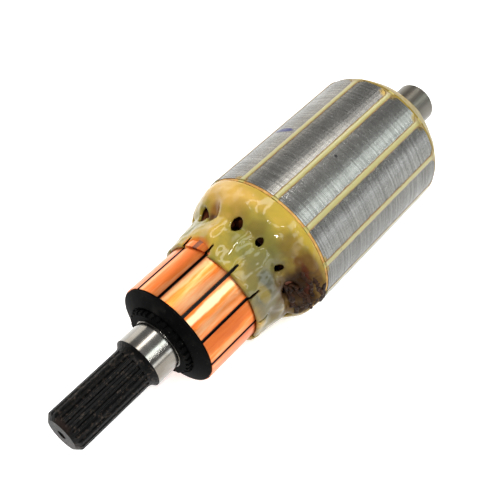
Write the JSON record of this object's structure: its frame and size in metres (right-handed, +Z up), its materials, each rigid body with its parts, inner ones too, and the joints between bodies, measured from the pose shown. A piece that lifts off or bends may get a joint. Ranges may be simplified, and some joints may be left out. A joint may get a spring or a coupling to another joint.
{
  "type": "motor armature",
  "caption": "Wound rotor of a commutator motor: slotted laminated core, resin-covered winding, copper commutator on a black moulded hub, and a shaft with bearing seats and a splined end.",
  "frame": {"origin": "on the shaft axis at the middle of the front bearing seat", "axes": "+X along the shaft towards the splined drive end; +Z up with the shaft level"},
  "size_m": [0.1759, 0.051, 0.051],
  "materials": {
    "shaft_steel": "ground bright at the bearing seats, dark and unground at the shoulder and the splines",
    "core_steel": "turned edges of thin sheets, with fine lines round the core",
    "end_disc": "brown pressed fibre soaked with varnish",
    "slot_paper": "varnished insulating paper",
    "slot_wedge": "olive yellow laminate with varnish along its edges",
    "winding_copper": "enamelled copper wire in tight bundles",
    "bar_copper": "turned copper with fine lines round the track",
    "mica": "dark sheet mica, cut back below the copper",
    "bush_steel": "turned steel sleeve",
    "hub_moulding": "black moulded compound, dull with worn grey patches",
    "winding_resin": "glossy olive yellow resin, lumpy over the wires"
  },
  "bodies": {
    "root": {"shaft": "shaft_steel", "lamination_stack": "core_steel", "front_end_disc": "end_disc", "rear_end_disc": "end_disc", "slot_liners": "slot_paper", "slot_wedge_01": "slot_wedge", "slot_wedge_02": "slot_wedge", "slot_wedge_03": "slot_wedge", "slot_wedge_04": "slot_wedge", "slot_wedge_05": "slot_wedge", "slot_wedge_06": "slot_wedge", "slot_wedge_07": "slot_wedge", "slot_wedge_08": "slot_wedge", "slot_wedge_09": "slot_wedge", "slot_wedge_10": "slot_wedge", "slot_wedge_11": "slot_wedge", "slot_wedge_12": "slot_wedge", "coil_01": "winding_copper", "coil_02": "winding_copper", "coil_03": "winding_copper", "coil_04": "winding_copper", "coil_05": "winding_copper", "coil_06": "winding_copper", "coil_07": "winding_copper", "coil_08": "winding_copper", "coil_09": "winding_copper", "coil_10": "winding_copper", "coil_11": "winding_copper", "coil_12": "winding_copper", "coil_leads": "winding_copper", "commutator_bar_01": "bar_copper", "commutator_bar_02": "bar_copper", "commutator_bar_03": "bar_copper", "commutator_bar_04": "bar_copper", "commutator_bar_05": "bar_copper", "commutator_bar_06": "bar_copper", "commutator_bar_07": "bar_copper", "commutator_bar_08": "bar_copper", "commutator_bar_09": "bar_copper", "commutator_bar_10": "bar_copper", "commutator_bar_11": "bar_copper", "commutator_bar_12": "bar_copper", "mica_segments": "mica", "commutator_bush": "bush_steel", "commutator_hub": "hub_moulding", "resin_front": "winding_resin", "resin_rear": "winding_resin"}
  },
  "joints": []
}
